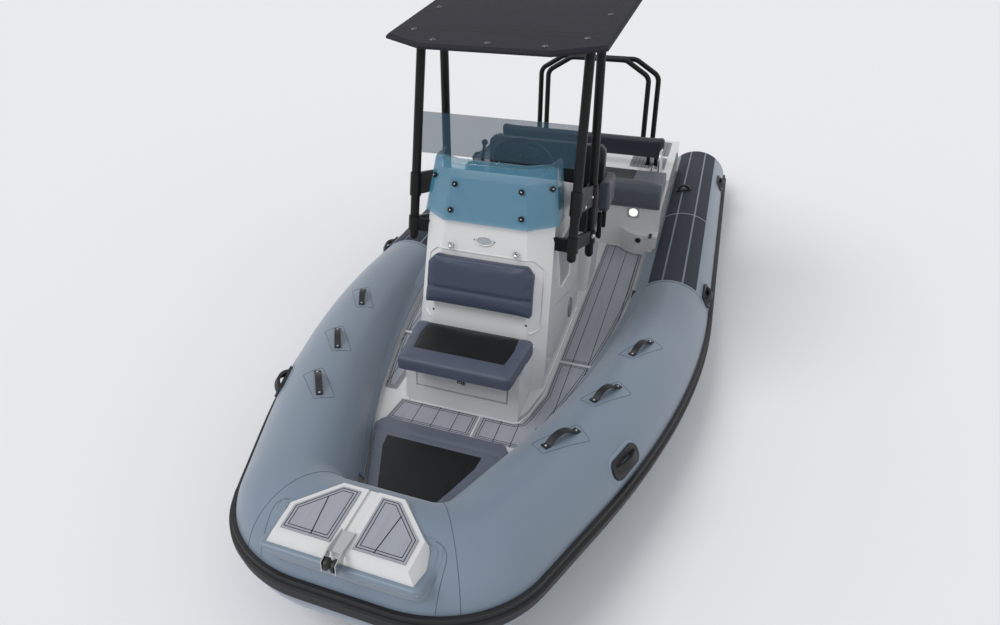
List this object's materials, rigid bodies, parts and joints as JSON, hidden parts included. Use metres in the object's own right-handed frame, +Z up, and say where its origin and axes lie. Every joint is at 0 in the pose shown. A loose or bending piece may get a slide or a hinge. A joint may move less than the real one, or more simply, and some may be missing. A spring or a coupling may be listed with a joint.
{
  "type": "rigid inflatable boat",
  "caption": "Open rigid inflatable boat with an inflatable collar, vee hull, centre console, T-top, helm seat, aft bench and roll bar.",
  "frame": {"origin": "on the centreline at the waterline, below the helm", "axes": "+X to the bow, +Y to port, +Z up"},
  "size_m": [5.991, 2.4032, 2.6501],
  "materials": {
    "collar_fabric": "blue-grey coated fabric, soft sheen",
    "black_rubber": "black moulded rubber",
    "pad_dark": "dark charcoal anti-slip",
    "gelcoat_white": "white gelcoat",
    "hull_grey": "grey gelcoat",
    "sole_eva": "grey foam decking with plank lines",
    "stainless": "polished stainless steel",
    "black_metal": "black powder coat",
    "roof_charcoal": "charcoal satin",
    "screen_blue": "blue tinted acrylic",
    "seat_dark": "dark grey coated fabric",
    "seat_blue": "blue-grey coated fabric",
    "black_plastic": "black moulded plastic",
    "pale_plastic": "pale moulded plastic",
    "lamp_lens": "clear lamp lens"
  },
  "bodies": {
    "boat": {"tube_port": "collar_fabric", "tube_starboard": "collar_fabric", "tube_bow": "collar_fabric", "rubbing_strake": "black_rubber", "antislip_port": "pad_dark", "antislip_starboard": "pad_dark", "strap_handles_port": "black_rubber", "strap_handles_starboard": "black_rubber", "side_handles_port": "black_rubber", "side_handles_starboard": "black_rubber", "mooring_handles": "black_rubber", "hull": "hull_grey", "deck_liner": "gelcoat_white", "deck_mats": "sole_eva", "bow_step": "gelcoat_white", "bow_step_mats": "sole_eva", "anchor_bracket": "stainless", "bow_cushion": "seat_blue", "console": "gelcoat_white", "front_cushion": "seat_blue", "front_backrest": "seat_blue", "console_hooks": "stainless", "console_vent": "pale_plastic", "windscreen": "screen_blue", "windscreen_bolts": "black_plastic", "ttop_front_legs": "black_metal", "ttop_rear_legs": "black_metal", "ttop_brackets": "black_metal", "hardtop": "roof_charcoal", "upper_screen": "screen_blue", "helm_bezel": "black_plastic", "throttle": "black_plastic", "helm_base": "gelcoat_white", "helm_cushion": "seat_dark", "helm_backrest": "seat_dark", "helm_posts": "black_metal", "helm_bolsters": "seat_dark", "aft_bench": "gelcoat_white", "bench_cushion": "seat_dark", "stern_deck": "gelcoat_white", "aft_backrest": "seat_dark", "backrest_posts": "black_metal", "bench_lamp": "lamp_lens", "bench_drain": "stainless", "stern_cleats": "stainless", "stern_rails": "stainless", "roll_bar": "black_metal", "tow_eyes": "stainless"},
    "locker_door": {"locker_door": "gelcoat_white", "door_latch": "black_plastic"},
    "anchor_roller": {"anchor_roller": "black_rubber"},
    "steering_wheel": {"steering_wheel": "black_plastic"}
  },
  "joints": [
    {"name": "locker_hinge", "type": "hinge", "parent": "boat", "child": "locker_door", "pos_m": [0.73001, 0, 0.413], "axis": [0, 1, 0], "range_deg": [0, 95]},
    {"name": "roller_spin", "type": "hinge", "parent": "boat", "child": "anchor_roller", "pos_m": [2.128, 0, 0.664], "axis": [0, 1, 0], "continuous": true},
    {"name": "wheel_turn", "type": "hinge", "parent": "boat", "child": "steering_wheel", "pos_m": [-0.40325, 0, 1.30334], "axis": [-0.8829, 0, 0.4695], "range_deg": [-540, 540]}
  ]
}
